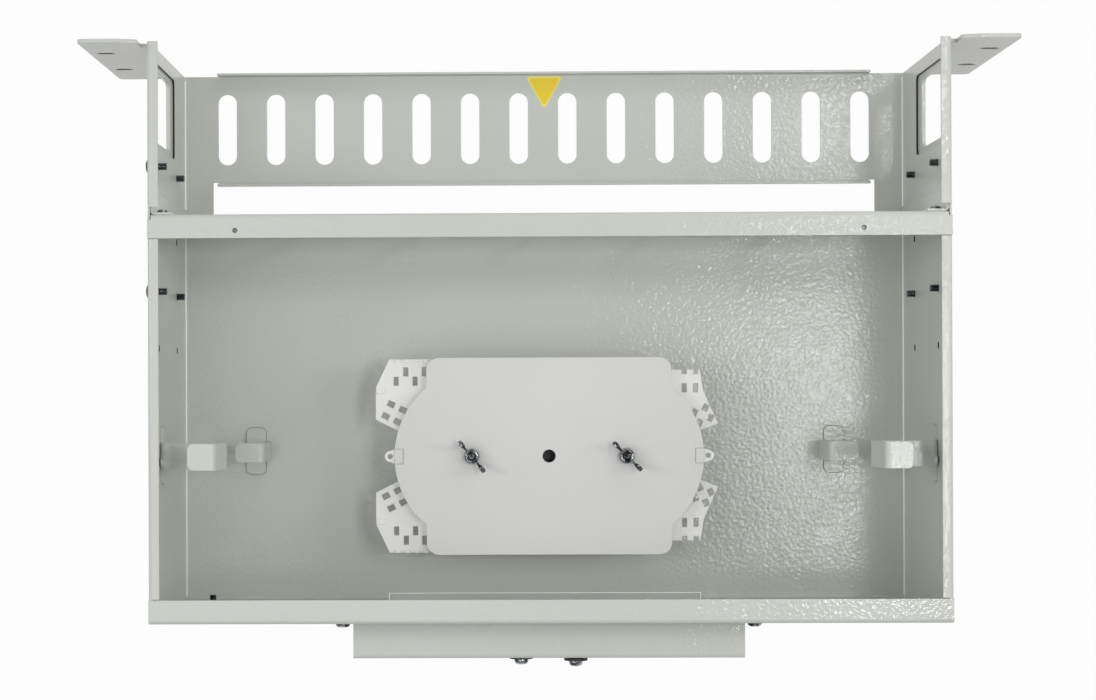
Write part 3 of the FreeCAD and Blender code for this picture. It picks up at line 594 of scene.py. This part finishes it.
def cover_nut_pieces():
    """Clinch nuts with a threaded, closed bore under the cover flange."""
    bm = bmesh.new()
    for sign in SIDES.values():
        top = BODY_HEIGHT - SHEET
        turns = [(1.3 - 0.18 * (k % 2), top - 0.25 * k) for k in range(4)]
        profile = [(2.4, top - 2.4), (3.0, top - 1.9), (3.0, top)] + turns
        start = len(bm.verts)
        revolve(bm, profile, 24)
        bm.verts.ensure_lookup_table()
        bmesh.ops.translate(bm, vec=(sign * COVER_HOLE[0], COVER_HOLE[1], 0), verts=bm.verts[start:])
    dull = zinc("dull_zinc", (0.22, 0.225, 0.225), (0.34, 0.345, 0.345), 0.45, 0.6)
    add_piece("cover_nuts_detail", bm, dull, "shelf", ["cover_nuts"])


def rounded_rectangle(a0, a1, b0, b1, radius, steps=5):
    """Outline of a rectangle with round corners, as (a, b) points."""
    low_a, high_a, low_b, high_b = a0 + radius, a1 - radius, b0 + radius, b1 - radius
    centres = [(high_a, high_b), (low_a, high_b), (low_a, low_b), (high_a, low_b)]
    points = []
    for k, (a, b) in enumerate(centres):
        for step in range(steps + 1):
            angle = math.pi / 2 * (k + step / steps)
            points.append((a + radius * math.cos(angle), b + radius * math.sin(angle)))
    return points


def edge_band(bm, outline, place, depths, insets=(-0.02, 0.06)):
    """Thin band that lines a cut edge; outline(inset) gives its points, place puts one in space."""
    rings = []
    near, far = insets
    for depth, inset in zip((depths[0], depths[0], depths[1], depths[1]), (near, far, far, near)):
        rings.append([bm.verts.new(place(a, b, depth)) for a, b in outline(inset)])
    rings_to_faces(bm, rings + rings[:1], False, False)


def circle(radius, segments=20):
    angles = [2 * math.pi * k / segments for k in range(segments)]
    return [(radius * math.cos(a), radius * math.sin(a)) for a in angles]


def grown(box, margin, corner):
    """Outline of a box (from and to, from and to) grown by a margin, with its round corners."""
    a0, a1, b0, b1 = box
    return rounded_rectangle(a0 - margin, a1 + margin, b0 - margin, b1 + margin, corner + margin)


def shade_band_pieces():
    """Dark bands of painted shade: round the side windows, in rack slots and spare holes, and round the hook
    feet.
    """
    long_half, short_half = (size / 2 for size in RACK_SLOT)
    slot = (-long_half, long_half, -short_half, short_half)
    slot_rise = RACK_SLOT_SPACING / 2
    for side, sign in SIDES.items():
        bm = bmesh.new()
        edge_band(
            bm, lambda d: grown(WALL_WINDOW, -d, WINDOW_CORNER),
            lambda y, z, x: (sign * (WALL_INSIDE + x), y, z), (0.15, SHEET))
        for middle in (EAR_MIDDLE - slot_rise, EAR_MIDDLE + slot_rise):
            edge_band(
                bm, lambda d: grown(slot, -d, short_half),
                lambda x, z, y: (sign * RACK_SLOT_X + x, FRONT_Y + y, middle + z), (0.2, 0.75 * EAR_SHEET))
        for column in SPARE_COLUMNS:
            for row in FIXING_ROWS:
                edge_band(
                    bm, lambda d: circle(FIXING_HOLE / 2 - d),
                    lambda y, z, x: (sign * (WALL_INSIDE + x), column + y, row + z), (0.05, SHEET))
        edge_band(
            bm, lambda d: grown(HOOK_FOOT, d, HOOK_CORNER),
            lambda x, y, z: (sign * x, y, SHEET + z), (-0.02, 0.05), (-0.05, 0.2))
        # The dark steel colour paints the shade in gaps, slots, holes and round the hook feet
        add_piece("shade_bands_" + side, bm, materials["dark_steel"], "shelf")


def bend_highlight_pieces():
    """Runs of thick, pale paint in the bends between the floor and the side walls: a painted highlight."""
    lift = 0.03
    section = [(BEND - lift, degrees) for degrees in (-80, -65, -50, -35)]
    section += [(BEND + lift, degrees) for degrees in (-35, -80)]
    for side, sign in SIDES.items():
        bm = bmesh.new()
        rings = []
        for y in (FRONT_Y + 3.5, REAR_Y - 3.0):
            ring = []
            for radius, degrees in section:
                angle = math.radians(degrees)
                x = WALL_INSIDE - BEND + radius * math.cos(angle)
                ring.append(bm.verts.new((sign * x, y, SHEET + BEND + radius * math.sin(angle))))
            rings.append(ring)
        rings_to_faces(bm, rings)
        # The pale bead paints a highlight along each bend
        add_piece("bend_highlight_bead_" + side, bm, materials["painted_highlight_bead"], "shelf")


def middle_bore_shade_piece():
    """Black cup in the middle bore of the tray, painting the shade that fills the bore."""
    bm = bmesh.new()
    bottom, top = TRAY_BOTTOM + 0.2, LID_TOP - LID_SHEET - 0.1
    revolve(bm, [(3.55, bottom), (3.55, top), (3.1, top), (2.9, top - 0.5), (2.9, bottom + 1.2)], 36)
    bmesh.ops.translate(bm, vec=(TRAY_X, TRAY_Y, 0), verts=bm.verts)
    # Its black colour paints the shade deep in the bore
    add_piece("middle_bore_shade", bm, materials["dark_steel"], "shelf")


def vinyl(name, colour):
    material, tree, shader = new_material(name)
    paler = tuple(min(1.0, c * 1.06) for c in colour)
    tree.links.new(colours(tree, noise(tree, 90.0, 2.0), colour, paler), shader.inputs["Base Color"])
    tree.links.new(spread(tree, noise(tree, 300.0), 0.28, 0.4), shader.inputs["Roughness"])
    tree.links.new(bump(tree, noise(tree, 430.0, 1.0), 0.15, 0.0002), shader.inputs["Normal"])
    return material


def rounded_triangle(corners, radius, steps=6):
    """Outline of a triangle with its corners rounded."""
    outline = []
    count = len(corners)
    for k in range(count):
        here = Vector(corners[k])
        back = (Vector(corners[k - 1]) - here).normalized()
        ahead = (Vector(corners[(k + 1) % count]) - here).normalized()
        half = back.angle(ahead) / 2
        reach = radius / math.tan(half)
        centre = here + (back + ahead).normalized() * (radius / math.sin(half))
        start = here + back * reach - centre
        end = here + ahead * reach - centre
        for step in range(steps + 1):
            share = step / steps
            spoke = start.lerp(end, share).normalized() * radius
            outline.append(centre + spoke)
    return outline


def sticker_pieces():
    """Plain yellow triangle on the apron: a pale backing and a deeper field."""
    middle = Vector((-0.8, -141.9))
    corners = [Vector((9.75, -148.0)), Vector((-11.35, -148.0)), Vector((-0.8, -129.1))]
    parts = (
        ("sticker_backing", 1.0, 0.06, (0.80, 0.72, 0.16)),
        ("sticker_field", 0.84, 0.10, (0.82, 0.60, 0.03)),
    )
    for name, share, height, colour in parts:
        shrunk = [middle + (corner - middle) * share for corner in corners]
        outline = rounded_triangle(shrunk, 1.2 * share)
        bm = bmesh.new()
        base = [bm.verts.new((p.x, p.y, SHEET + 0.01)) for p in outline]
        face = [bm.verts.new((p.x, p.y, SHEET + height)) for p in outline]
        rings_to_faces(bm, [base, face])
        add_piece(name, bm, vinyl(name, colour), "shelf")


ear_screw_pieces()
rear_screw_pieces()
panel_screw_pieces()
stud_pieces()
wing_nut_pieces()
cover_nut_pieces()
shade_band_pieces()
bend_highlight_pieces()
middle_bore_shade_piece()
sticker_pieces()

scene.view_settings.view_transform = "Standard"
camera()
world_light()
studio_floor()
lamps()
